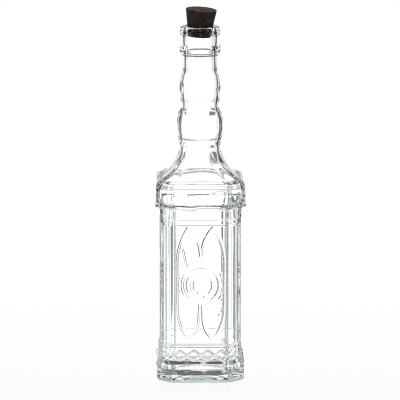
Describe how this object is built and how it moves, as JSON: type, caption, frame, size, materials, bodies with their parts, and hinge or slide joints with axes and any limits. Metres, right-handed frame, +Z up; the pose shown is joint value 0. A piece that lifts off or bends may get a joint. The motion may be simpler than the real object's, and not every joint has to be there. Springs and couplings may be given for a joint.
{
  "type": "glass bottle",
  "caption": "Tall square bottle of clear greenish glass with slanted corners, pressed petals and rings on sunk panels, a bulged neck and a dark cork resting in its mouth.",
  "frame": {"origin": "centre of the base, on the surface that the bottle stands on", "axes": "+Z up along the bottle, -Y out of the decorated front face, +X to the right of someone facing it"},
  "size_m": [0.07, 0.07, 0.2865],
  "materials": {
    "glass": "smooth glossy pressed glass, clear with a faint green tint in the thick parts",
    "cork": "dry matt cork, stained very dark brown, with pores"
  },
  "bodies": {
    "root": {"bottle": "glass", "stopper": "cork"}
  },
  "joints": []
}
